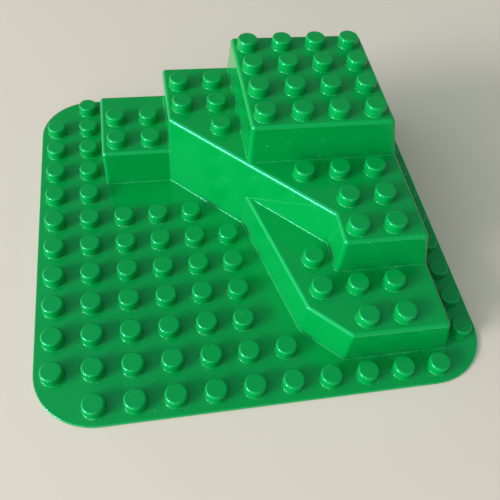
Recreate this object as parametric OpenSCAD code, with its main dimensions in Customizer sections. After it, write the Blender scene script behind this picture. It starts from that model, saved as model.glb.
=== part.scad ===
// Raised building plate for preschool bricks: a formed plastic sheet with a
// flat studded deck and four hollow steps that climb to a tower.
// Frame: X to the right, Y to the back, Z up. The origin is the centre of the
// plate on the surface it stands on. Plan places are counted in grid cells.

/* [Grid] */
// Side of one grid cell, which is the distance between neighbouring studs
pitch = 16; // [14:0.1:24]
// Height of one brick, which is the rise of one step
step_h = 19.2; // [14:0.1:26]

/* [Sheet] */
// Thickness of the formed sheet
sheet = 1.2; // [0.8:0.05:1.6]
// Radius of the plate's four corners in plan
corner_r = 26; // [12:1:40]
// How far the right and back walls lean in, per millimetre of height
outer_slope = 0.28; // [0:0.01:0.36]

/* [Studs] */
// Diameter of a stud
stud_d = 9.4; // [7:0.05:11.3]
// Height of a stud above the face it stands on
stud_h = 4.5; // [3:0.1:6]
// Radius of the rounded edge of a stud's top
stud_edge_r = 0.8; // [0.3:0.05:1.2]

/* [Hidden] */
$fn = 48;

cells = 12;                          // grid cells along each side of the plate
far_foot = 11;                       // column or row line of the leaning walls' foot
plate_w = cells * pitch;
stud_r = stud_d / 2;
bore_r = stud_r - sheet;
through = 1;                         // how far a cut runs past a face
lean = atan(outer_slope);            // angle of the leaning walls from upright
skin_run = sheet / cos(lean);        // the sheet's thickness there, measured level
reach = 2 * plate_w;                 // larger than anything it cuts

// Height of the top face of a level, counted in bricks above the deck, and
// of the same face seen from below
function level_z(level) = sheet + level * step_h;
function level_under_z(level) = level_z(level) - sheet;

// Outline of each step: corners in cells from the plate's front left corner,
// counter-clockwise, one face after each corner. The leaning planes trim what
// lies past them, so outlines run on to the plate's right and back edges. The
// low and the front step also run on inside the middle one, which cuts them
low_outline = [[2, 8], [5, 8], [5, 12], [2, 12]];
front_outline = [[5.75, 7], [7, 2], [8, 1], [12, 1], [12, 7]];
middle_outline = [[4, 8], [8, 4], [8, 3], [12, 3], [12, 12], [4, 12]];
tower_outline = [[6, 6], [12, 6], [12, 12], [6, 12]];

// Which of those faces is a wall of sheet, and which is open or trimmed
WALL = 1;
OPEN = 0;
low_faces = [WALL, OPEN, OPEN, WALL];
front_faces = [WALL, WALL, WALL, OPEN, OPEN];
middle_faces = [WALL, WALL, WALL, OPEN, OPEN, WALL];
tower_faces = [WALL, OPEN, OPEN, WALL];

// Cells that carry a stud, each as [column, row], counted from 1
function block(c0, c1, r0, r1) = [for (r = [r0:r1], c = [c0:c1]) [c, r]];
field_cells = [for (cell = block(3, 6, 2, 7)) if (cell[0] + cell[1] <= cells) cell];
deck_cells = concat(
    block(2, cells - 1, 1, 1),           // front edge
    block(2, cells - 1, cells, cells),   // back edge
    block(1, 1, 2, cells - 1),           // left edge
    block(cells, cells, 2, cells - 1),   // right edge
    block(2, 2, 2, cells - 1),           // second column
    field_cells,
    [[7, 2]]                             // foot of the front step
);
low_cells = block(3, 4, 9, 10);
front_cells = concat([[8, 4], [8, 3]], block(9, 10, 2, 3));
middle_cells = concat(block(5, 6, 9, 10), [[6, 8]], block(8, 10, 6, 6), block(9, 10, 4, 5));
tower_cells = block(7, 10, 7, 10);

// ---- plan geometry ----

function from_cells(p) = [for (c = p) [(c[0] - cells / 2) * pitch, (c[1] - cells / 2) * pitch]];
function along(p, i) = let (d = p[(i + 1) % len(p)] - p[i]) d / norm(d);
function inward(p, i) = let (t = along(p, i)) [-t[1], t[0]];

// Corner i of outline p after each face j has moved in by d[j]: the point
// where the two moved lines that meet there cross
function moved_corner(p, d, i) =
    let (
        j = (i + len(p) - 1) % len(p),
        a = inward(p, j),
        b = inward(p, i),
        ka = a * p[i] + d[j],
        kb = b * p[i] + d[i],
        det = a[0] * b[1] - a[1] * b[0]
    ) [(ka * b[1] - kb * a[1]) / det, (a[0] * kb - b[0] * ka) / det];
function moved_in(p, d) = [for (i = [0:len(p) - 1]) moved_corner(p, d, i)];

// ---- building blocks ----

// An upright block over an outline, and the same block inside the sheet
module over(outline, z0, z1) {
    translate([0, 0, z0]) linear_extrude(z1 - z0) polygon(from_cells(outline));
}
module inside(outline, faces, z0, z1) {
    inner = moved_in(from_cells(outline), sheet * faces);
    translate([0, 0, z0]) linear_extrude(z1 - z0) polygon(inner);
}

// What lies within both leaning planes, moved in level by the given amount
module trimmed(inset) {
    foot = (far_foot - cells / 2) * pitch - inset;
    intersection() {
        union() children();
        translate([foot, 0, sheet]) rotate([0, -lean, 0])
            translate([-reach, -reach / 2, -reach / 2]) cube(reach);
        translate([0, foot, sheet]) rotate([lean, 0, 0])
            translate([-reach / 2, -reach, -reach / 2]) cube(reach);
    }
}

// What cuts a lower step where the next one stands on it
module middle_block() over(middle_outline, -through, level_z(2) + through);
module tower_block() over(tower_outline, -through, level_z(3) + through);

// The hollows below the two low steps, up to their top faces
module low_hollow() inside(low_outline, low_faces, -through, level_under_z(1));
module front_hollow() inside(front_outline, front_faces, -through, level_under_z(1));

// ---- studs ----

module at_cells(list) {
    for (c = list) translate([(c[0] - 0.5 - cells / 2) * pitch, (c[1] - 0.5 - cells / 2) * pitch, 0]) children();
}

// A hollow stud, open below, standing on z = 0
module stud() {
    rotate_extrude() difference() {
        union() {
            square([stud_r - stud_edge_r, stud_h]);
            square([stud_r, stud_h - stud_edge_r]);
            translate([stud_r - stud_edge_r, stud_h - stud_edge_r]) circle(stud_edge_r);
        }
        translate([0, -through]) square([bore_r, stud_h - sheet + through]);
        translate([-stud_d, -through]) square([stud_d, stud_h + 2 * through]);
    }
}
module studs(list, level) translate([0, 0, level_z(level)]) at_cells(list) stud();

// The openings in a face below its studs
module stud_bores(list, level) {
    translate([0, 0, level_under_z(level) - through])
        at_cells(list) cylinder(r = bore_r, h = sheet + 2 * through);
}

// ---- deck ----

module plate_outline() {
    inner_w = plate_w - 2 * corner_r;
    square([plate_w, inner_w], center = true);
    square([inner_w, plate_w], center = true);
    for (x = [-1, 1], y = [-1, 1]) translate([x * inner_w / 2, y * inner_w / 2]) circle(corner_r);
}
module deck() {
    color("forestgreen") difference() {
        linear_extrude(sheet) plate_outline();
        trimmed(skin_run) {
            low_hollow();
            front_hollow();
            inside(middle_outline, middle_faces, -through, level_under_z(2));
        }
        stud_bores(deck_cells, 0);
    }
}
module deck_studs() color("forestgreen") studs(deck_cells, 0);

// ---- walls and top of a step that the next one cuts ----

module lower_walls(outline, faces) {
    difference() {
        trimmed(0) over(outline, level_z(0), level_under_z(1));
        trimmed(skin_run) inside(outline, faces, -through, level_z(1));
        middle_block();
    }
}
module lower_top(outline, list) {
    difference() {
        trimmed(0) over(outline, level_under_z(1), level_z(1));
        middle_block();
        stud_bores(list, 1);
    }
}

// ---- low step, at the back left ----

module low_step_walls() color("forestgreen") lower_walls(low_outline, low_faces);
module low_step_top() color("forestgreen") lower_top(low_outline, low_cells);
module low_step_studs() color("forestgreen") studs(low_cells, 1);

// ---- front step, at the front right ----

module front_step_walls() color("forestgreen") lower_walls(front_outline, front_faces);
module front_step_top() color("forestgreen") lower_top(front_outline, front_cells);
module front_step_studs() color("forestgreen") studs(front_cells, 1);

// ---- middle step: its walls open into the hollows of both low steps ----

module middle_step_walls() {
    color("forestgreen") difference() {
        trimmed(0) over(middle_outline, level_z(0), level_under_z(2));
        trimmed(skin_run) {
            inside(middle_outline, middle_faces, -through, level_z(2));
            low_hollow();
            front_hollow();
        }
    }
}
module middle_step_top() {
    color("forestgreen") difference() {
        trimmed(0) over(middle_outline, level_under_z(2), level_z(2));
        tower_block();
        stud_bores(middle_cells, 2);
    }
}
module middle_step_studs() color("forestgreen") studs(middle_cells, 2);

// ---- tower: at the right and the back it carries on the middle walls ----

module tower_walls() {
    color("forestgreen") difference() {
        trimmed(0) over(tower_outline, level_under_z(2), level_under_z(3));
        trimmed(skin_run) inside(tower_outline, tower_faces, level_z(1), level_z(3));
    }
}
module tower_top() {
    color("forestgreen") difference() {
        trimmed(0) over(tower_outline, level_under_z(3), level_z(3));
        stud_bores(tower_cells, 3);
    }
}
module tower_studs() color("forestgreen") studs(tower_cells, 3);

deck();
deck_studs();
low_step_walls();
low_step_top();
low_step_studs();
front_step_walls();
front_step_top();
front_step_studs();
middle_step_walls();
middle_step_top();
middle_step_studs();
tower_walls();
tower_top();
tower_studs();
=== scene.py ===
# %% [markdown]
# # A raised building plate for toy bricks
#
# The real plate is one sheet of glossy green plastic, drawn over a mould. It has a
# flat deck, four hollow steps and rows of round studs, all of one thickness. This
# notebook rebuilds that sheet around the plain solids of the CAD model: each piece
# below is a thin shell that follows its solid, with the soft edges of a formed sheet.

# %% Load the frame
import math

import bpy
import numpy as np
from mathutils import Matrix, Vector
from mathutils.geometry import delaunay_2d_cdt


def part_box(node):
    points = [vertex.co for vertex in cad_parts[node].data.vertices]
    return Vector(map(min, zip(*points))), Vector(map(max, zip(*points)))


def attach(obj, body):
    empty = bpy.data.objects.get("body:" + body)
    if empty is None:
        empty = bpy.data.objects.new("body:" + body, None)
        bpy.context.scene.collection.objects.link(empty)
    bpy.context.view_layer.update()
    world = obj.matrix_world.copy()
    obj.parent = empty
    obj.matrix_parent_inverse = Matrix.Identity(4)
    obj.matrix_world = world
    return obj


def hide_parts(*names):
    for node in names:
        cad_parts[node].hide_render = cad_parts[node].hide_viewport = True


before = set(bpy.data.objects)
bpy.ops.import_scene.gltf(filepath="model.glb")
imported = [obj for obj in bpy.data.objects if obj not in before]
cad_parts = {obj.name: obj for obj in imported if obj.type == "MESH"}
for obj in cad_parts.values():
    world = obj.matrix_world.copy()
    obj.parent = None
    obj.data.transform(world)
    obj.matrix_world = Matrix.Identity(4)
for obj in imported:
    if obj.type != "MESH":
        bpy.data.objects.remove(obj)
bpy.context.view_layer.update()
print("the CAD model has", len(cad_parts), "nodes")

# %% [markdown]
# ## Sizes
#
# Shapes are worked out in millimetres and written to the meshes in metres. The
# plate's width and corners, the sheet's thickness, the heights of the faces and the
# size of a stud come from the CAD nodes, so the visual model can't drift away from
# them. Only what the CAD model leaves out, the small radii and slopes, is set here.

# %% Sizes from the frame
MM = 0.001     # metres in a millimetre
CELLS = 12     # grid cells along each side of the plate
NEAR = 0.001   # millimetres: points closer than this to a line lie on it


def top_of(node):
    """Height of a node's highest point, in millimetres."""
    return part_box(node)[1].z / MM


def points_of(node):
    """A node's vertices, in millimetres."""
    mesh = bpy.data.objects[node].data
    flat = np.empty(len(mesh.vertices) * 3, np.float32)
    mesh.vertices.foreach_get("co", flat)
    return flat.reshape(-1, 3) / MM


plate_w = (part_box("deck")[1].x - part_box("deck")[0].x) / MM
pitch = plate_w / CELLS
deck_z = top_of("deck")
sheet = deck_z
level_z = [deck_z, top_of("low_step_top"), top_of("middle_step_top"), top_of("tower_top")]
stud_h = top_of("tower_studs") - level_z[3]
last_tower_stud = 9.5 * pitch - plate_w / 2   # centre of the tower's rightmost studs
stud_r = round(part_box("tower_studs")[1].x / MM - last_tower_stud, 3)
# the deck's front edge is straight up to where the corner starts to turn
deck_points = points_of("deck")
front_edge = deck_points[deck_points[:, 1] < NEAR - plate_w / 2]
plate_corner_r = round(float(plate_w / 2 - front_edge[:, 0].max()), 3)
far_foot = plate_w / 2 - pitch   # where the leaning right and back walls stand on the deck
lean = (far_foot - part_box("tower_top")[1].x / MM) / (level_z[3] - sheet - deck_z)
print("pitch", round(pitch, 3), "sheet", round(sheet, 3), "lean", round(lean, 3))
print("heights of the faces:", np.round(level_z, 2))
print("stud radius", stud_r, "stud height", round(stud_h, 3), "plate corner radius", plate_corner_r)

# %% Sizes that the CAD model leaves out
INNER_SLOPE = 0.02      # lean of the walls that face the deck
EDGE_R = 1.6            # rounded edge round a step's top
CORNER_R = 2.0          # upright corners that stick out
NOOK_R = 0.5            # upright corners that go in
FOOT_R = 0.45           # the small hollow curve where a wall meets a face
CARRY_ON = 2.5          # how far a rounded edge runs on behind the next step's wall
print("edge radius", EDGE_R, "corner radius", CORNER_R, "foot radius", FOOT_R)

# %% [markdown]
# ## One path, one profile
#
# Every step is the same construction: a closed path in plan, and a profile that is
# carried along it. The path is a polygon with arcs at its corners. Each point of it
# knows which way is out and how far it drifts inward as the wall rises. So a point
# of the surface is `base + drift * height - inset * out`, with the height and the
# inset read from the profile. The whole wall is one array operation. An extruded
# polygon with a Bevel modifier would look alike, but a Bevel can't change its radius
# where one wall runs on into the next.


# %% The path
def corner(col, row, radius, foot=(0, 0)):
    """A corner of a path. A negative radius is a corner that goes in. foot is how far the
    wall runs on down at the corner's start and end: 0 stands on a face, 1 carries on a wall."""
    return {"kind": "corner", "cell": (col, row), "radius": radius, "foot": foot}


def mark(col, row, foot=0, name=None):
    """A point on the straight stretch between two corners."""
    return {"kind": "mark", "cell": (col, row), "foot": foot, "name": name}


def from_cells(cell):
    """A place in the grid of cells, as millimetres from the plate's centre."""
    return (np.array(cell, float) - CELLS / 2) * pitch


# %% From corners and marks to columns
def make_path(items, slopes, arc_steps=8):
    """Turns corners and marks into columns. A corner whose two faces have the outward normals
    a and b is an arc round the point that lies radius inside both faces, from a to b. Its
    drift is the move of that point when each face leans in by its own slope."""
    corners = [i for i, item in enumerate(items) if item["kind"] == "corner"]
    points = np.array([from_cells(items[i]["cell"]) for i in corners])
    runs = np.roll(points, -1, axis=0) - points
    runs /= np.linalg.norm(runs, axis=1)[:, None]
    outward = np.stack([runs[:, 1], -runs[:, 0]], axis=1)
    slopes = np.array(slopes, float)
    base, drift, out, foot, names = [], [], [], [], {}
    face = -1
    for item in items:
        if item["kind"] == "corner":
            face += 1
            before, after = outward[face - 1], outward[face]
            inward = -np.array([before, after])
            radius = item["radius"]
            centre = points[face] + np.linalg.solve(inward, [radius, radius])
            move = np.linalg.solve(inward, [slopes[face - 1], slopes[face]])
            start = math.atan2(before[1], before[0])
            turn = math.remainder(math.atan2(after[1], after[0]) - start, math.tau)
            angle = start + turn * np.linspace(0, 1, arc_steps + 1)
            normal = np.stack([np.cos(angle), np.sin(angle)], axis=1)
            base.append(centre + radius * normal)
            out.append(normal)
            drift.append(np.repeat([move], len(angle), axis=0))
            foot.append(np.linspace(*item["foot"], len(angle)))
        else:
            if item["name"]:
                names[item["name"]] = sum(len(part) for part in base)
            base.append(from_cells(item["cell"])[None])
            out.append(outward[face][None])
            drift.append(-outward[face][None] * slopes[face])
            foot.append(np.array([item["foot"]], float))
    path = {"base": np.concatenate(base), "drift": np.concatenate(drift),
            "out": np.concatenate(out), "foot": np.concatenate(foot), "names": names}
    path["turning"] = np.linalg.norm(np.roll(path["out"], -1, 0) - np.roll(path["out"], 1, 0), axis=1)
    return path


def ring(path, z, inset):
    """The path at one height, moved in by one inset: base + drift * height - inset * out."""
    return path["base"] + path["drift"] * (z - deck_z) - inset * path["out"]


# %% [markdown]
# ## The profile of a formed sheet
#
# A wall of sheet starts with a small hollow curve at its foot, rises, and turns over
# the edge in a larger round one. The inside of the sheet is the same line moved in by
# the thickness. Where a wall carries on the wall below it, the foot runs straight
# down instead, and each column of the path blends between the two.


# %% The profile
def wall_profile(path, foot_z, top_z, round_top=True):
    """Rows from the foot to the top, each with an inset, a height and its direction.
    The foot is a quarter circle that ends at the wall: inset = r sin a - r, height = r - r cos a.
    The edge is one that starts there: inset = R - R cos b, height = R sin b - R."""
    a = np.linspace(0, math.pi / 2, 5)
    b = np.linspace(0, math.pi / 2, 9) if round_top else np.zeros(1)
    share = path["foot"][None, :]
    straight = np.linspace(foot_z - EDGE_R, foot_z + FOOT_R, len(a))[:, None]

    def foot_rows(standing, carrying):
        return (1 - share) * standing[:, None] + share * carrying

    def edge_rows(values):
        return np.repeat(values[:, None], share.shape[1], 1)

    run = np.concatenate([foot_rows(np.cos(a), 0), edge_rows(np.sin(b))])
    rise = np.concatenate([foot_rows(np.sin(a), 1), edge_rows(np.cos(b))])
    length = np.hypot(run, rise)
    return {
        "inset": np.concatenate([foot_rows(FOOT_R * np.sin(a) - FOOT_R, 0),
                                 edge_rows(EDGE_R - EDGE_R * np.cos(b))]),
        "z": np.concatenate([foot_rows(foot_z + FOOT_R - FOOT_R * np.cos(a), straight),
                             edge_rows(top_z - EDGE_R + EDGE_R * np.sin(b))]),
        "run": run / length, "rise": rise / length,
        # edge is highest halfway round the rounded edge, where the lighter green also paints a highlight
        "edge": np.concatenate([np.zeros((len(a), share.shape[1])), edge_rows(np.sin(2 * b))]),
        "foot_z": foot_z,
    }


# %% Carrying the profile along the path
def sweep(path, profile):
    """Carries the profile along the path. The outside is base + drift * height - inset * out.
    The inside lies one sheet further in, across the profile's own direction, and the normal
    is out * rise + up * (run + slope * rise)."""
    base, drift, out = path["base"][None], path["drift"][None], path["out"][None]
    slope = -(path["drift"] * path["out"]).sum(1)[None]

    def place(inset, z):
        plan = base + drift * (z - deck_z)[..., None] - out * inset[..., None]
        return np.concatenate([plan, z[..., None]], axis=2)

    outside = place(profile["inset"], profile["z"])
    inside = place(profile["inset"] + sheet * profile["rise"], profile["z"] - sheet * profile["run"])
    tilt = profile["run"] + slope * profile["rise"]
    normal = np.concatenate([out * profile["rise"][..., None], tilt[..., None]], axis=2)
    normal /= np.linalg.norm(normal, axis=2)[..., None]
    return outside, inside, normal


# %% [markdown]
# ## Flat faces with holes
#
# A flat face is the space inside one loop and outside others: the feet of the next
# step and the round roots of the studs. Blender can fill such a shape from its loops
# with a Delaunay triangulation. It fills the holes too, so the triangles whose middle
# lies in a hole are dropped afterwards. A wider ring round every stud is kept as a
# loop of its own on the deck, so that a mask for dust can fade out between the two.

# %% Flat faces
STUD_STEPS = 40
ROOT_R = round(stud_r + 0.4, 3)   # where a stud's foot leaves the flat face
DUST_R = round(ROOT_R + 2.1, 3)   # where the dust round a deck stud ends
WELD_GAP = 1e-5   # points closer than this are one point
turns = np.arange(STUD_STEPS) * math.tau / STUD_STEPS
round_trip = np.stack([np.cos(turns), np.sin(turns)], axis=1)


def stud_places(node):
    """Centres of a stud node's studs: the middle of every grid cell that holds its vertices."""
    cells = np.unique(np.floor(points_of(node)[:, :2] / pitch + CELLS / 2).astype(int), axis=0)
    return from_cells(cells + 0.5)


# %% Filling a flat face
def is_inside(points, loop):
    """Even-odd rule: a point is inside when a line from it to the right crosses the loop an odd
    number of times."""
    x, y = points[:, :1], points[:, 1:2]
    x0, y0 = loop[None, :, 0], loop[None, :, 1]
    x1, y1 = np.roll(x0, -1, 1), np.roll(y0, -1, 1)
    with np.errstate(divide="ignore", invalid="ignore"):
        crosses = ((y0 > y) != (y1 > y)) & (x < x0 + (y - y0) * (x1 - x0) / (y1 - y0))
    return crosses.sum(1) % 2 == 1


def fill_flat(outline, holes, studs, dust_and_highlight=False):
    """Triangles between the outline, the holes and the stud roots, with the mask of the dust:
    1 at a stud's root and 0 at the wider ring and everywhere beyond."""
    roots = [centre + ROOT_R * round_trip for centre in studs]
    rings = [centre + DUST_R * round_trip for centre in studs if dust_and_highlight]
    loops = [outline, *holes, *roots, *rings]
    points = np.concatenate(loops)
    edges, start = [], 0
    for loop in loops:
        index = np.arange(len(loop)) + start
        edges += np.stack([index, np.roll(index, -1)], axis=1).tolist()
        start += len(loop)
    filled = delaunay_2d_cdt(points.tolist(), edges, [], 0, WELD_GAP)
    corners, faces = np.array(filled[0]), np.array(filled[2])
    middle = corners[faces].mean(axis=1)
    keep = is_inside(middle, outline)
    for hole in holes:
        keep &= ~is_inside(middle, hole)
    if len(studs):
        reach = np.linalg.norm(middle[:, None] - studs[None], axis=2).min(axis=1)
        keep &= reach > ROOT_R * math.cos(math.pi / STUD_STEPS)
    faces = faces[keep]
    first, second, third = (corners[faces[:, i]] for i in range(3))
    side_a, side_b = second - first, third - first
    clockwise = side_a[:, 0] * side_b[:, 1] - side_a[:, 1] * side_b[:, 0] < 0
    faces[clockwise] = faces[clockwise][:, ::-1]
    dust = np.zeros(len(corners))
    if dust_and_highlight:
        reach = np.linalg.norm(corners[:, None] - studs[None], axis=2).min(axis=1)
        dust = (reach < ROOT_R + 0.01).astype(float)
    return corners, faces, dust


# %% [markdown]
# ## From surfaces to a shell
#
# Each step is built from patches: bands of wall and flat faces. A patch has an
# outside, an inside and normals. To make a closed shell, the patches are welded where
# they share points, the inside is added with its faces turned round, and a strip of
# faces closes every edge that only one face uses. A Solidify modifier does the same
# for one surface, but it guesses its directions from the faces, and here they are
# known exactly. The normals are set from the formulas too, so wide flat faces stay
# flat right up to a rounded edge. Faces are kept as rows of four corners, and a
# triangle's fourth corner is -1, so that every step below is one array operation.

# %% A band of wall
# A low climb, just above a foot, gets the pale dust and the painted crease highlight.
FAR_UP = 30.0   # the climb of a point that no dust can reach, in millimetres


def wall_patch(path, profile, first, last):
    """A band of wall from one column to another. It wraps round if last isn't after first, and
    goes all the way round if they are the same."""
    outside, inside, normal = sweep(path, profile)
    count = outside.shape[1]
    columns = np.arange(first, last + 1 if last > first else last + count + 1) % count
    rows, width = outside.shape[0], len(columns)
    index = np.arange(rows * width).reshape(rows, width)
    quads = np.stack([index[:-1, :-1], index[:-1, 1:], index[1:, 1:], index[1:, :-1]], axis=-1)
    climb = profile["z"] - profile["foot_z"] + FAR_UP * path["foot"]
    marks = {"edge": profile["edge"][:, columns].ravel(), "climb": climb[:, columns].ravel(),
             "dust": np.zeros(rows * width)}
    return {"outside": outside[:, columns].reshape(-1, 3), "inside": inside[:, columns].reshape(-1, 3),
            "normal": normal[:, columns].reshape(-1, 3), "faces": quads.reshape(-1, 4), "marks": marks}


# %% A flat face
def as_rows_of_four(triangles):
    """Triangles with -1 as their fourth corner."""
    return np.column_stack([triangles, np.full(len(triangles), -1)])


def flat_patch(z, outline, holes, studs, dust_and_highlight=False):
    """A flat face of sheet at one height."""
    corners, faces, dust = fill_flat(outline, holes, studs, dust_and_highlight)
    outside = np.column_stack([corners, np.full(len(corners), z)])
    up = np.tile([0.0, 0.0, 1.0], (len(corners), 1))
    marks = {"edge": np.zeros(len(corners)), "climb": np.full(len(corners), FAR_UP), "dust": dust}
    return {"outside": outside, "inside": outside - [0, 0, sheet], "normal": up,
            "faces": as_rows_of_four(faces), "marks": marks}


# %% Welding patches
WELD_STEPS = 500   # points are welded if they agree to 1/500 of a millimetre


def join_patches(patches):
    """Welds patches where their outside points meet. Every corner of every face keeps the
    normal of the patch that it came from."""
    outside = np.concatenate([p["outside"] for p in patches])
    inside = np.concatenate([p["inside"] for p in patches])
    normal = np.concatenate([p["normal"] for p in patches])
    marks = {key: np.concatenate([p["marks"][key] for p in patches]) for key in patches[0]["marks"]}
    starts = np.cumsum([0] + [len(p["outside"]) for p in patches])
    faces = np.concatenate([np.where(p["faces"] < 0, -1, p["faces"] + start)
                            for p, start in zip(patches, starts)])
    _, kept, weld = np.unique(np.round(outside * WELD_STEPS).astype(int), axis=0,
                              return_index=True, return_inverse=True)
    welded = np.append(weld, -1)[faces]
    return outside[kept], inside[kept], normal, faces, welded, {k: v[kept] for k, v in marks.items()}


# %% Writing a mesh
def write_mesh(name, points, faces, loop_normals, marks):
    """Puts points in millimetres into a mesh in metres, with its own normals and masks."""
    mesh = bpy.data.meshes.new(name)
    rows = [row[:3] if row[3] < 0 else row for row in faces.tolist()]
    mesh.from_pydata((points * MM).tolist(), [], rows)
    mesh.polygons.foreach_set("use_smooth", np.ones(len(faces), bool))
    for key, values in marks.items():
        layer = mesh.attributes.new(key, "FLOAT", "POINT")
        layer.data.foreach_set("value", values.astype(np.float32))
    mesh.normals_split_custom_set(loop_normals.tolist())
    mesh.update()
    piece = bpy.data.objects.new(name, mesh)
    bpy.context.scene.collection.objects.link(piece)
    print(name, len(mesh.vertices), "vertices", int((faces >= 0).sum() - 2 * len(faces)), "triangles")
    return piece


# %% Closing a shell
def turned_round(faces):
    """The same faces with their corners in the opposite order."""
    back = faces[:, ::-1].copy()
    triangles = faces[:, 3] < 0
    back[triangles] = np.roll(back[triangles], -1, axis=1)
    return back


def open_edges(faces):
    """Edges that only one face uses, in that face's direction."""
    before = np.roll(faces, 1, axis=1)
    before[:, 0] = np.where(faces[:, 3] < 0, faces[:, 2], faces[:, 3])
    pairs = np.stack([before[faces >= 0], faces[faces >= 0]], axis=1)
    low, high = pairs.min(axis=1), pairs.max(axis=1)
    _, first, count = np.unique(low * (pairs.max() + 1) + high, return_index=True, return_counts=True)
    return pairs[first[count == 1]]


def closed_shell(name, patches):
    """Outside, inside and the strips between them as one mesh. Faces that the weld has
    squeezed to a line, which hold one point twice, are dropped."""
    outside, inside, normal, faces, welded, marks = join_patches(patches)
    whole = (np.diff(np.sort(welded, axis=1), axis=1) != 0).all(axis=1)
    faces, welded = faces[whole], welded[whole]
    count = len(outside)
    backs = turned_round(welded)
    backs[backs >= 0] += count
    rims = open_edges(welded)
    strips = np.stack([rims[:, 1], rims[:, 0], rims[:, 0] + count, rims[:, 1] + count], axis=1)
    points = np.concatenate([outside, inside])
    flat = points[strips]
    across = np.cross(flat[:, 2] - flat[:, 0], flat[:, 3] - flat[:, 1])
    across /= np.maximum(np.linalg.norm(across, axis=1), 1e-9)[:, None]
    turned = turned_round(faces)
    loop_normals = np.concatenate([normal[faces[faces >= 0]], -normal[turned[turned >= 0]],
                                   np.repeat(across, 4, axis=0)])
    marks = {key: np.concatenate([values, values]) for key, values in marks.items()}
    return write_mesh(name, points, np.concatenate([welded, backs, strips]), loop_normals, marks)


# %% [markdown]
# ## The paths of the three levels
#
# Three closed paths make all the walls. The lowest goes round everything that stands
# on the deck. The second carries the middle step, and the third the tower. On the
# right and at the back the walls of all levels lie in one plane, and so does the
# diagonal wall at the back left: there a wall carries on down, and elsewhere it
# stands on the face below. The marks say where one kind of top ends and the next one
# starts.

# %% The three paths
IN, OUT = INNER_SLOPE, lean
past = CARRY_ON / pitch
slant = past / math.sqrt(2)
dies_out = 3.4 / pitch / math.sqrt(2)   # there the front step's edge has run into the diagonal wall
stands = 0.33                           # and from there the diagonal wall stands on the front step
off_corner = 0.25                       # from there the tower's walls stand on the middle step

lowest = make_path([
    corner(2, 8, CORNER_R), corner(4, 8, -NOOK_R),
    mark(4 + slant, 8 - slant, name="low_ends"), mark(6 - slant, 6 + slant, name="front_starts"),
    corner(6, 6, -NOOK_R), corner(7, 2, CORNER_R), corner(8, 1, CORNER_R), corner(11, 1, CORNER_R),
    mark(11, 3 + past, name="front_ends"), corner(11, 11, CORNER_R),
    mark(4 + past, 11, name="low_starts"), corner(2, 11, CORNER_R),
], [IN, IN, IN, IN, IN, OUT, OUT, IN])

middle = make_path([
    corner(4, 8, CORNER_R, (0, 1)), mark(6 + dies_out, 6 - dies_out, 1),
    mark(6 + stands, 6 - stands, 0),
    corner(8, 4, -NOOK_R), corner(8, 3, CORNER_R), corner(11, 3, CORNER_R, (0, 1)),
    mark(11, 6 + past, 1, "top_ends"), corner(11, 11, CORNER_R, (1, 1)),
    mark(6 + past, 11, 1, "top_starts"), corner(4, 11, CORNER_R, (1, 0)),
], [IN, IN, IN, OUT, OUT, IN])

highest = make_path([
    corner(6, 6, CORNER_R, (1, 1)), mark(6 + off_corner, 6, 0), corner(11, 6, CORNER_R, (0, 1)),
    corner(11, 11, CORNER_R, (1, 1)), corner(6, 11, CORNER_R, (1, 0)), mark(6, 6 + off_corner, 0),
], [IN, OUT, OUT, IN])
print("columns:", len(lowest["base"]), len(middle["base"]), len(highest["base"]))

# %% [markdown]
# ## The deck
#
# The deck is a flat rounded square with one large opening under the steps. Its rim is
# cut and slightly rounded. A Solidify modifier could give a plane its thickness, but
# the opening has to meet the foot of the walls exactly, so the deck is filled from the
# same path as the walls.

# %% Deck
RIM_R = 0.5


def rim_patch(path):
    """The rounded rim: inset = r - r cos b, height = sheet - r + r sin b, flat below."""
    b = np.linspace(0, math.pi / 2, 5)
    grid = np.ones((1, len(path["base"])))
    profile = {"inset": (RIM_R - RIM_R * np.cos(b))[:, None] * grid,
               "z": (deck_z - RIM_R + RIM_R * np.sin(b))[:, None] * grid,
               "run": np.sin(b)[:, None] * grid, "rise": np.cos(b)[:, None] * grid,
               # edge: the rim's lighter green, partly a painted highlight
               "edge": np.sin(2 * b)[:, None] * grid, "foot_z": -FAR_UP}   # no dust on the rim
    patch = wall_patch(path, profile, 0, 0)
    patch["inside"] = patch["outside"] * [1, 1, 0]
    return patch


plate = make_path([corner(0, 0, plate_corner_r), corner(CELLS, 0, plate_corner_r),
                   corner(CELLS, CELLS, plate_corner_r), corner(0, CELLS, plate_corner_r)],
                  [0, 0, 0, 0], arc_steps=16)
deck_studs_at = stud_places("deck_studs")
deck_face = flat_patch(deck_z, ring(plate, deck_z, RIM_R), [ring(lowest, deck_z, -FOOT_R)],
                       deck_studs_at, dust_and_highlight=True)
deck_sheet = closed_shell("deck_sheet", [rim_patch(plate), deck_face])
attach(deck_sheet, "root")
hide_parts("deck")

# %% [markdown]
# ## The low step and the front step
#
# These are the two steps of one brick's height. Both are made of the lowest path.
# Their walls have a rounded edge at the top, and a flat face that runs a little way in
# behind the wall of the middle step. Cutting each face exactly along that wall would
# be possible too, but a small overlap behind it hides the joint for certain.

# %% Low step and front step
lower_round = wall_profile(lowest, level_z[0], level_z[1])
lower_plain = wall_profile(lowest, level_z[0], level_z[1], round_top=False)
at = lowest["names"]


def top_line(patch, profile):
    """The highest row of a band of wall, seen from above."""
    rows = profile["z"].shape[0]
    return patch["outside"].reshape(rows, -1, 3)[-1, :, :2]


low_wall = wall_patch(lowest, lower_round, at["low_starts"], at["low_ends"])
low_face = flat_patch(level_z[1], top_line(low_wall, lower_round), [], stud_places("low_step_studs"))
low_step = closed_shell("low_step", [low_wall, low_face])
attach(low_step, "root")
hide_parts("low_step_walls", "low_step_top")

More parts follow.
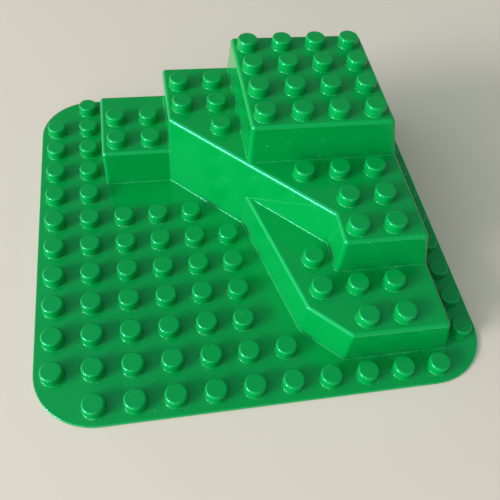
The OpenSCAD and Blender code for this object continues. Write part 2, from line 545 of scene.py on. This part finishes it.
front_wall = wall_patch(lowest, lower_round, at["front_starts"], at["front_ends"])
front_face = flat_patch(level_z[1], top_line(front_wall, lower_round), [],
                        stud_places("front_step_studs"))
front_step = closed_shell("front_step", [front_wall, front_face])
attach(front_step, "root")
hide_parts("front_step_walls", "front_step_top")

# %% [markdown]
# ## The middle step
#
# The middle step takes the rest of the lowest path, where its walls reach down to the
# deck, and the whole second path. Its face has the shape of a bent strip: the tower
# stands on the rest. The strip runs in behind the tower's walls.

# %% Middle step
middle_round = wall_profile(middle, level_z[1], level_z[2])
middle_plain = wall_profile(middle, level_z[1], level_z[2], round_top=False)
on = middle["names"]
middle_wall = wall_patch(middle, middle_round, on["top_starts"], on["top_ends"])
under_tower = from_cells((6 + past, 6 + past))
middle_line = np.vstack([top_line(middle_wall, middle_round), under_tower])
middle_step = closed_shell("middle_step", [
    wall_patch(lowest, lower_plain, at["low_ends"], at["front_starts"]),
    wall_patch(lowest, lower_plain, at["front_ends"], at["low_starts"]),
    middle_wall, wall_patch(middle, middle_plain, on["top_ends"], on["top_starts"]),
    flat_patch(level_z[2], middle_line, [], stud_places("middle_step_studs"))])
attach(middle_step, "root")
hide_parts("middle_step_walls", "middle_step_top")

# %% [markdown]
# ## The tower
#
# The tower is the highest step, a plain cap: one closed path with a rounded edge and a
# square face. It could be a scaled cube with a Bevel, but two of its walls lean and
# carry on the walls below, and the path already knows how.

# %% Tower
tower_profile = wall_profile(highest, level_z[2], level_z[3])
tower_wall = wall_patch(highest, tower_profile, 0, 0)
tower_face = flat_patch(level_z[3], top_line(tower_wall, tower_profile)[:-1], [],
                        stud_places("tower_studs"))
tower = closed_shell("tower", [tower_wall, tower_face])
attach(tower, "root")
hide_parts("tower_walls", "tower_top")

# %% [markdown]
# ## The studs
#
# A stud is drawn up from the sheet: it has a small hollow curve at its root, a wall
# that leans in a little, a round edge and a flat top. The sheet gets thinner where it
# is stretched. It is a profile turned round an axis, and all the studs of one face
# are made at once: the profile gives radius and height, and adding each stud's centre
# is one more array operation. A Spin or a Screw modifier would make one stud, but the
# array keeps the normals exact.

# %% Stud profile
STUD_FOOT_R = round(stud_r + 0.16, 3)   # radius just above the root
STUD_TOP_R = round(stud_r - 0.1, 3)     # radius just below the edge
STUD_EDGE_R = 0.92   # rounded edge of the top
STUD_FLARE = 0.42    # height of the small hollow curve at the root
STUD_LEAN = math.radians(4.7)   # the direction in which the edge starts
THIN = 0.86          # thickness of the stretched sheet in a stud


def stud_profile():
    """Radius, height, and the outward normal in that plane. The root is a quarter ellipse:
    radius = root - width sin a, height = flare - flare cos a. The edge is a quarter circle."""
    a = np.linspace(0, math.pi / 2, 5)
    b = np.linspace(STUD_LEAN, math.pi / 2, 7)
    width = ROOT_R - STUD_FOOT_R
    radius = np.concatenate([ROOT_R - width * np.sin(a),
                             STUD_TOP_R - STUD_EDGE_R + STUD_EDGE_R * np.cos(b)])
    height = np.concatenate([STUD_FLARE - STUD_FLARE * np.cos(a),
                             stud_h - STUD_EDGE_R + STUD_EDGE_R * np.sin(b)])
    across = np.concatenate([STUD_FLARE * np.sin(a), np.cos(b)])
    up = np.concatenate([width * np.cos(a), np.sin(b)])
    length = np.hypot(across, up)
    # the mask lightens the stud's rounded top edge: thinner sheet, and a painted glint
    mask = np.concatenate([np.zeros(len(a)), np.sin(2 * b)])
    return radius, height, across / length, up / length, mask


# %% All the studs of one face
def stud_patch(places, z):
    """All studs of one face: point = centre + radius * direction, at z + height. The inside is
    the outside moved against its normal, by the sheet's thickness at the root and less above."""
    radius, height, across, up, mask = stud_profile()
    rows = len(radius)
    thickness = np.where(np.arange(rows) == 0, sheet, THIN)

    def turn(r, h):
        plan = places[:, None, None] + (r[:, None, None] * round_trip)[None]
        level = np.broadcast_to((z + h)[None, :, None, None], plan.shape[:3] + (1,))
        return np.concatenate([plan, level], axis=3)

    outside = turn(radius, height)
    inside = turn(radius - thickness * across, height - thickness * up)
    normal = np.concatenate([across[:, None, None] * round_trip,
                             np.broadcast_to(up[:, None, None], (rows, STUD_STEPS, 1))], 2)
    normal = np.broadcast_to(normal[None], outside.shape)
    count = len(places)
    grid = np.arange(count * rows * STUD_STEPS).reshape(count, rows, STUD_STEPS)
    after = np.roll(grid, -1, axis=2)
    quads = np.stack([grid[:, :-1], after[:, :-1], after[:, 1:], grid[:, 1:]], axis=-1).reshape(-1, 4)
    pole = (grid.size + np.arange(count))[:, None]
    fans = np.stack([grid[:, -1], after[:, -1], np.repeat(pole, STUD_STEPS, 1)], axis=-1).reshape(-1, 3)

    def with_poles(points, h):
        return np.concatenate([points.reshape(-1, 3), np.column_stack([places, np.full(count, z + h)])])

    def spread(values, at_pole):
        grid_values = np.broadcast_to(values[None, :, None], grid.shape).ravel()
        return np.concatenate([grid_values, np.full(count, float(at_pole))])

    marks = {"edge": spread(mask, 0), "climb": spread(height, stud_h),
             "dust": spread(np.zeros(rows), 0)}
    return {"outside": with_poles(outside, stud_h), "inside": with_poles(inside, stud_h - THIN),
            "normal": np.concatenate([normal.reshape(-1, 3), np.tile([0.0, 0.0, 1.0], (count, 1))]),
            "faces": np.concatenate([quads, as_rows_of_four(fans)]), "marks": marks}


# %% Stud groups
stud_groups = []
for node, z in [("deck_studs", level_z[0]), ("low_step_studs", level_z[1]),
                ("front_step_studs", level_z[1]), ("middle_step_studs", level_z[2]),
                ("tower_studs", level_z[3])]:
    group = closed_shell(node.replace("_studs", "_stud_cups"), [stud_patch(stud_places(node), z)])
    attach(group, "root")
    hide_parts(node)
    stud_groups.append(group)

# %% [markdown]
# ## The plastic
#
# The sheet is a plastic coloured right through, with a gloss that is neither a
# mirror nor satin. Four things make it look real: a colour that is a little lighter
# where the sheet is stretched thin and along the rounded edges, where the lighter
# green is also a painted highlight, the faint orange peel and the long waves of a
# formed sheet, pale dust that stays at the roots of the studs and walls, where the pale
# line is also a painted crease highlight, and hairline scratches. Each is a node group,
# so both finishes below can use it with values of their own.

# %% Helpers for node groups
def new_group(name, inputs, outputs):
    """An empty shader group with named sockets and their default values."""
    group = bpy.data.node_groups.new(name, "ShaderNodeTree")
    for label, kind, value in inputs:
        socket = group.interface.new_socket(label, in_out="INPUT", socket_type=kind)
        if value is not None:
            socket.default_value = value
    for label, kind in outputs:
        group.interface.new_socket(label, in_out="OUTPUT", socket_type=kind)
    return group, group.nodes.new("NodeGroupInput"), group.nodes.new("NodeGroupOutput")


def add(tree, kind, settings=None, **values):
    """Adds a node. Settings are its own options, and values are the sockets' constants."""
    node = tree.nodes.new(kind)
    for key, value in (settings or {}).items():
        setattr(node, key, value)
    for key, value in values.items():
        node.inputs[key.replace("_", " ")].default_value = value
    return node


def calc(tree, operation, first, second=None, clamp=False):
    """One Math node. Each operand is a socket or a number."""
    node = tree.nodes.new("ShaderNodeMath")
    node.operation, node.use_clamp = operation, clamp
    for socket, operand in zip(node.inputs, (first, second)):
        if isinstance(operand, (int, float)):
            socket.default_value = operand
        elif operand is not None:
            tree.links.new(operand, socket)
    return node.outputs[0]


def noise(tree, place, scale, detail=2.0, roughness=0.5, stretch=(1, 1, 1)):
    """Noise at a scale per metre, on stretched coordinates if asked."""
    if stretch != (1, 1, 1):
        mapping = add(tree, "ShaderNodeMapping")
        mapping.inputs["Scale"].default_value = stretch
        tree.links.new(place, mapping.inputs["Vector"])
        place = mapping.outputs[0]
    node = add(tree, "ShaderNodeTexNoise", Scale=scale, Detail=detail, Roughness=roughness)
    tree.links.new(place, node.inputs["Vector"])
    return node.outputs["Fac"]


def ramp(tree, value, low, high, to_low=0.0, to_high=1.0):
    """Maps low..high to to_low..to_high with smooth ends."""
    node = add(tree, "ShaderNodeMapRange", {"interpolation_type": "SMOOTHSTEP"})
    for label, number in zip(("From Min", "From Max", "To Min", "To Max"), (low, high, to_low, to_high)):
        node.inputs[label].default_value = number
    tree.links.new(value, node.inputs["Value"])
    return node.outputs[0]


def blend_colour(tree, factor, first, second):
    """Mixes two colours. Each is a socket or four numbers."""
    node = add(tree, "ShaderNodeMix", {"data_type": "RGBA"})
    for socket, operand in ((node.inputs[0], factor), (node.inputs[6], first), (node.inputs[7], second)):
        if isinstance(operand, (tuple, float, int)):
            socket.default_value = operand
        else:
            tree.links.new(operand, socket)
    return node.outputs[2]


# %% [markdown]
# ### Stretched colour and painted edge highlight
#
# Where the sheet is drawn thin over an edge, more light comes through the plastic and
# its green is lighter. The same lighter green is highest halfway round every rounded
# edge, and there it is also a painted highlight: the bright line that a lamp leaves
# along such an edge. The mask `edge` says where. A slow noise adds what the mould and
# the heat leave behind. Two ramps of colour would do as well, but one mix keeps both
# finishes in the same two greens.

# %% Group: stretched colour and painted edge highlight
stretched, start, end = new_group("Stretched colour and edge highlight", [
    ("Place", "NodeSocketVector", None), ("Deep", "NodeSocketColor", (0.0, 0.3, 0.09, 1)),
    ("Thin", "NodeSocketColor", (0.0, 0.4, 0.13, 1)), ("Edge", "NodeSocketFloat", 0.0)],
    [("Colour", "NodeSocketColor")])
cloud = noise(stretched, start.outputs["Place"], 22.0, 3.0)   # patches of a few centimetres
# The edge mask adds the lighter green along rounded edges: thinner sheet, and a painted highlight.
share = calc(stretched, "ADD", ramp(stretched, cloud, 0.3, 0.75, 0.0, 0.18),
             calc(stretched, "MULTIPLY", start.outputs["Edge"], 0.45), clamp=True)
stretched.links.new(blend_colour(stretched, share, start.outputs["Deep"], start.outputs["Thin"]),
                    end.inputs["Colour"])
print(stretched.name, len(stretched.nodes), "nodes")

# %% [markdown]
# ### Formed surface
#
# A formed sheet is never quite flat. It has orange peel of about a millimetre, long
# waves of a centimetre or two, and on the studs small dents from use. They are far
# too shallow to model, so they are heights for a Bump node: they only bend the
# reflections.

# %% Group: formed surface
PEEL_SCALE, WAVE_SCALE, DENT_SCALE = 900.0, 55.0, 420.0   # noise cells per metre
formed, start, end = new_group("Formed surface", [
    ("Place", "NodeSocketVector", None), ("Peel", "NodeSocketFloat", 1.0),
    ("Waves", "NodeSocketFloat", 1.0), ("Dents", "NodeSocketFloat", 0.0)],
    [("Height", "NodeSocketFloat")])
place = start.outputs["Place"]
peel = calc(formed, "MULTIPLY", noise(formed, place, PEEL_SCALE, 2.0), start.outputs["Peel"])
wave = calc(formed, "MULTIPLY", noise(formed, place, WAVE_SCALE, 1.0), start.outputs["Waves"])
hollow = ramp(formed, noise(formed, place, DENT_SCALE, 1.0), 0.70, 0.78)
dent = calc(formed, "MULTIPLY", hollow, start.outputs["Dents"])
raised = calc(formed, "ADD", calc(formed, "MULTIPLY", peel, 0.05), calc(formed, "MULTIPLY", wave, 1.0))
height = calc(formed, "SUBTRACT", raised, calc(formed, "MULTIPLY", dent, 0.3))
formed.links.new(height, end.inputs["Height"])
print(formed.name, len(formed.nodes), "nodes")

# %% [markdown]
# ### Dust and painted crease highlight
#
# Dust stays where no finger or brick wipes it: in a ring round each stud and in the
# small curve at the foot of a wall. The input `Where` is high there. Along the foot of
# every wall and the root of every stud the pale mask is also a painted highlight, the
# thin light line of the hollow crease. Noise breaks the ring into patches and grains,
# and a few single specks lie anywhere. Painting a mask by hand would be the other way,
# but this one follows the shape by itself.

# %% Group: dust and painted crease highlight
PATCH_SCALE, GRAIN_SCALE, SPECK_SCALE = 160.0, 1500.0, 520.0   # noise cells per metre
settled_dust_and_highlight, start, end = new_group("Dust and crease highlight", [
    ("Place", "NodeSocketVector", None), ("Where", "NodeSocketFloat", 0.0),
    ("Amount", "NodeSocketFloat", 1.0)], [("Mask", "NodeSocketFloat")])
place = start.outputs["Place"]
patches = ramp(settled_dust_and_highlight, noise(settled_dust_and_highlight, place, PATCH_SCALE, 3.0), 0.42, 0.66)
grains = ramp(settled_dust_and_highlight, noise(settled_dust_and_highlight, place, GRAIN_SCALE, 1.0), 0.5, 0.75)
# Where is high along the feet and round the studs: the pale there is dust, and along the feet also a
# painted crease highlight.
ringed = calc(settled_dust_and_highlight, "MULTIPLY", calc(settled_dust_and_highlight, "POWER", start.outputs["Where"], 1.6), patches)
specks = ramp(settled_dust_and_highlight, noise(settled_dust_and_highlight, place, SPECK_SCALE, 0.0), 0.86, 0.89)
mask = calc(settled_dust_and_highlight, "ADD", calc(settled_dust_and_highlight, "MULTIPLY", ringed, grains),
            calc(settled_dust_and_highlight, "MULTIPLY", specks, 0.35))
settled_dust_and_highlight.links.new(calc(settled_dust_and_highlight, "MULTIPLY", mask, start.outputs["Amount"], clamp=True),
                  end.inputs["Mask"])
print(settled_dust_and_highlight.name, len(settled_dust_and_highlight.nodes), "nodes")

# %% [markdown]
# ### Hairline scratches
#
# Play leaves short hairlines in all directions. A noise stretched to 26 times its
# length has long thin level lines, and the narrow band round its middle value makes a
# line. Three such noises are turned to three directions, and a second noise lets only
# short pieces show. An image of scratches would be easier, but it would repeat.

# %% Group: hairline scratches
hairlines, start, end = new_group("Hairline scratches", [
    ("Place", "NodeSocketVector", None), ("Amount", "NodeSocketFloat", 1.0)],
    [("Mask", "NodeSocketFloat")])
mask = None
for angle, scale in ((0.35, 40.0), (1.2, 55.0), (2.2, 48.0)):
    turned = add(hairlines, "ShaderNodeMapping")
    turned.inputs["Rotation"].default_value = (0.4 * angle, 0.6, angle)
    hairlines.links.new(start.outputs["Place"], turned.inputs["Vector"])
    thin = noise(hairlines, turned.outputs[0], scale, 1.0, 0.5, (1.0, 26.0, 1.0))
    off_middle = calc(hairlines, "ABSOLUTE", calc(hairlines, "SUBTRACT", thin, 0.5))
    line = ramp(hairlines, off_middle, 0.004, 0.0)
    gaps = ramp(hairlines, noise(hairlines, turned.outputs[0], 70.0 + scale, 1.0), 0.6, 0.72)
    line = calc(hairlines, "MULTIPLY", line, gaps)
    mask = line if mask is None else calc(hairlines, "MAXIMUM", mask, line)
hairlines.links.new(calc(hairlines, "MULTIPLY", mask, start.outputs["Amount"], clamp=True),
                    end.inputs["Mask"])
print(hairlines.name, len(hairlines.nodes), "nodes")

# %% [markdown]
# ## Two finishes of one plastic
#
# The walls and faces share one material, and the studs have their own, because the
# studs are rubbed by every brick and collect small dents. Both have the same colour.
# Gloss comes from the shader's own roughness and from the lights. The specular tint
# takes most of the red out of the reflections. A real plastic doesn't tint them: it is
# a choice of look, without which the pale room makes the green milky. The dust makes
# the surface paler and duller at the same time; along the feet of walls and studs its
# pale line is also a painted crease highlight.

# %% Materials
# The second green is lighter: thinned sheet, and the painted highlight along rounded edges.
DEEP_GREEN, THIN_AND_HIGHLIGHT_GREEN = (0.0, 0.275, 0.044, 1), (0.0, 0.34, 0.062, 1)
# The pale colour is dust, and along the feet of walls and studs also a painted crease highlight.
DUST_AND_HIGHLIGHT_COLOUR = (0.3, 0.62, 0.4, 1)
DUST_AND_HIGHLIGHT_CLIMB = 1.3      # how far up a wall's foot the dust reaches, in millimetres
BUMP_DEPTH = 0.0004   # metres of height for a bump of 1


def green_plastic(name, peel, waves, dents, dust, scratches, gloss):
    """A Principled material that places the four groups with values of its own."""
    material = bpy.data.materials.new(name)
    material.use_nodes = True
    tree = material.node_tree
    tree.nodes.clear()
    out = add(tree, "ShaderNodeOutputMaterial")
    shader = add(tree, "ShaderNodeBsdfPrincipled")
    shader.inputs["IOR"].default_value = 1.56
    shader.inputs["Specular IOR Level"].default_value = 0.62
    shader.inputs["Specular Tint"].default_value = (0.3, 1.0, 0.93, 1)
    tree.links.new(shader.outputs[0], out.inputs["Surface"])
    place = add(tree, "ShaderNodeTexCoord").outputs["Object"]

    def use(group, **links):
        node = add(tree, "ShaderNodeGroup", {"node_tree": group})
        for key, value in links.items():
            if isinstance(value, (int, float, tuple)):
                node.inputs[key].default_value = value
            else:
                tree.links.new(value, node.inputs[key])
        return node.outputs[0]

    def mark_of(key):
        return add(tree, "ShaderNodeAttribute", {"attribute_name": key}).outputs["Fac"]

    # colour: the two greens, with the lighter one painted as a highlight along rounded edges
    colour = use(stretched, Place=place, Edge=mark_of("edge"), Deep=DEEP_GREEN, Thin=THIN_AND_HIGHLIGHT_GREEN)
    # Near the foot of each wall and stud root the mask is high: dust, and a painted crease highlight.
    risen = calc(tree, "DIVIDE", mark_of("climb"), DUST_AND_HIGHLIGHT_CLIMB)
    foot_dust_and_highlight = calc(tree, "SUBTRACT", 1.0, risen, clamp=True)
    where = calc(tree, "MAXIMUM", mark_of("dust"), foot_dust_and_highlight)
    dust_and_highlight = use(settled_dust_and_highlight, Place=place, Where=where, Amount=dust)
    scratched = use(hairlines, Place=place, Amount=scratches)
    pale = calc(tree, "MAXIMUM", calc(tree, "MULTIPLY", dust_and_highlight, 0.45),
                calc(tree, "MULTIPLY", scratched, 0.3))
    tree.links.new(blend_colour(tree, pale, colour, DUST_AND_HIGHLIGHT_COLOUR), shader.inputs["Base Color"])
    smudge = ramp(tree, noise(tree, place, 45.0, 4.0, 0.6), 0.4, 0.75, gloss, gloss + 0.05)
    tree.links.new(calc(tree, "ADD", smudge, calc(tree, "MULTIPLY", pale, 0.5), clamp=True),
                   shader.inputs["Roughness"])
    bump = add(tree, "ShaderNodeBump", Strength=1.0, Distance=BUMP_DEPTH)
    tree.links.new(use(formed, Place=place, Peel=peel, Waves=waves, Dents=dents), bump.inputs["Height"])
    tree.links.new(bump.outputs[0], shader.inputs["Normal"])
    return material


# %% The two finishes
sheet_green = green_plastic("Green sheet", peel=0.15, waves=0.25, dents=0.0, dust=0.8,
                            scratches=0.02, gloss=0.11)
stud_green = green_plastic("Green studs", peel=0.2, waves=0.25, dents=0.35, dust=1.0,
                           scratches=0.06, gloss=0.09)
for piece in (deck_sheet, low_step, front_step, middle_step, tower):
    piece.data.materials.append(sheet_green)
for piece in stud_groups:
    piece.data.materials.append(stud_green)
print("finishes:", sheet_green.name, "and", stud_green.name)

# %% [markdown]
# ## Floor and light
#
# The plate lies on a plain pale floor. Two low windows stand at the left and left of
# the front. The wide one makes the glint on every stud and the bright line along the
# diagonal edge, and its width decides how far that line reaches. Most of the light is
# soft and comes from the world. It is brighter on the left, weak elsewhere so that no
# side goes black, and dimmest at the back, because a flat glossy face shows the
# camera the back of the room. A large lamp overhead would be simpler, but it would
# make every top face pale.

# %% Floor
FLOOR_REACH, FLOOR_Z = 20, -0.0001   # metres: far enough for the horizon, and just below the plate
floor_mesh = bpy.data.meshes.new("floor")
floor_mesh.from_pydata([(x * FLOOR_REACH, y * FLOOR_REACH, FLOOR_Z)
                        for x, y in ((-1, -1), (1, -1), (1, 1), (-1, 1))], [], [(0, 1, 2, 3)])
floor = bpy.data.objects.new("floor", floor_mesh)
bpy.context.scene.collection.objects.link(floor)
floor_paint = bpy.data.materials.new("Pale floor")
floor_paint.use_nodes = True
paint = floor_paint.node_tree.nodes["Principled BSDF"]
paint.inputs["Base Color"].default_value = (0.74, 0.62, 0.5, 1)
paint.inputs["Roughness"].default_value = 0.6
floor_mesh.materials.append(floor_paint)


# %% Lights
WINDOW_DISTANCE = 2.2   # metres from the plate


def direction_of(azimuth, elevation):
    """A unit vector. Azimuth 0 is the front and grows to the right, in degrees."""
    a, e = math.radians(azimuth), math.radians(elevation)
    return Vector((math.sin(a) * math.cos(e), -math.cos(a) * math.cos(e), math.sin(e)))


def window(name, azimuth, elevation, width, height, watts, tint):
    """A bright rectangle that looks at the plate."""
    data = bpy.data.lights.new(name, "AREA")
    data.shape, data.size, data.size_y = "RECTANGLE", width, height
    data.energy, data.color = watts, tint
    lamp = bpy.data.objects.new(name, data)
    place = direction_of(azimuth, elevation) * WINDOW_DISTANCE
    lamp.location = place
    lamp.rotation_euler = (-place).to_track_quat("-Z", "Y").to_euler()
    bpy.context.scene.collection.objects.link(lamp)
    print(name, watts, "W")


window("left window", azimuth=-69, elevation=20, width=0.95, height=0.42, watts=49,
       tint=(1.0, 1.0, 1.14))
window("front window", azimuth=-32, elevation=12, width=0.24, height=0.24, watts=4,
       tint=(1.0, 1.0, 0.85))


# %% World
BACK = (0, 1, 0)


def room_light(azimuth, elevation, weak, strong, dimming):
    """A room that is brighter on one side and dim at the back: radiance = weak * (1 - dimming *
    max(0, cos b)) + strong * max(0, cos a) ** 2, where a and b are the angles between a
    direction and the bright side and the back."""
    world = bpy.data.worlds.new("room")
    world.use_nodes = True
    tree = world.node_tree
    direction = add(tree, "ShaderNodeTexCoord").outputs["Generated"]

    def towards(side):
        facing = add(tree, "ShaderNodeVectorMath", {"operation": "DOT_PRODUCT"})
        facing.inputs[1].default_value = side
        tree.links.new(direction, facing.inputs[0])
        return calc(tree, "MAXIMUM", facing.outputs["Value"], 0.0)

    bright = calc(tree, "POWER", towards(direction_of(azimuth, elevation)), 2.0)
    dim = calc(tree, "SUBTRACT", weak, calc(tree, "MULTIPLY", towards(BACK), dimming * weak))
    power = calc(tree, "ADD", calc(tree, "MULTIPLY", bright, strong), dim)
    background = tree.nodes["Background"]
    background.inputs["Color"].default_value = (0.8, 0.98, 1.02, 1)
    tree.links.new(power, background.inputs["Strength"])
    bpy.context.scene.world = world


room_light(azimuth=-80, elevation=14, weak=0.4, strong=1.7, dimming=0.65)
bpy.context.scene.view_settings.view_transform = "Standard"
print("view transform:", bpy.context.scene.view_settings.view_transform)

# %% [markdown]
# ## Camera
#
# The camera looks down steeply from the front left, with a slight roll. Its direction
# is given as angles round a target, which is easier to adjust than a position. A
# Track To constraint could aim it too, but it can't give the roll.


# %% Camera
def aim(azimuth, elevation, roll, distance, target):
    """Camera matrix. The camera stands at target + distance * direction, and its axes are the
    level right and the up at right angles to both, turned by the roll."""
    away, turn = direction_of(azimuth, elevation), math.radians(roll)
    right = Vector((0, 0, 1)).cross(away).normalized()
    up = away.cross(right)
    rolled = math.cos(turn) * right + math.sin(turn) * up
    upright = -math.sin(turn) * right + math.cos(turn) * up
    matrix = Matrix((rolled, upright, away)).transposed().to_4x4()
    matrix.translation = Vector(target) + distance * away
    return matrix


camera_data = bpy.data.cameras.new("camera")
camera_data.lens, camera_data.sensor_width = 41.614, 36.0
camera_data.shift_x, camera_data.shift_y = -0.02496, 0.10608
camera_data.clip_start, camera_data.clip_end = 0.01, 20
camera = bpy.data.objects.new("camera", camera_data)
bpy.context.scene.collection.objects.link(camera)
camera.matrix_world = aim(azimuth=-17.108, elevation=56.724, roll=8.702, distance=0.25435,
                          target=(0.00123, -0.05038, 0.0057))
bpy.context.scene.camera = camera
print("camera", np.round(camera.matrix_world.translation, 4), "lens", camera_data.lens)
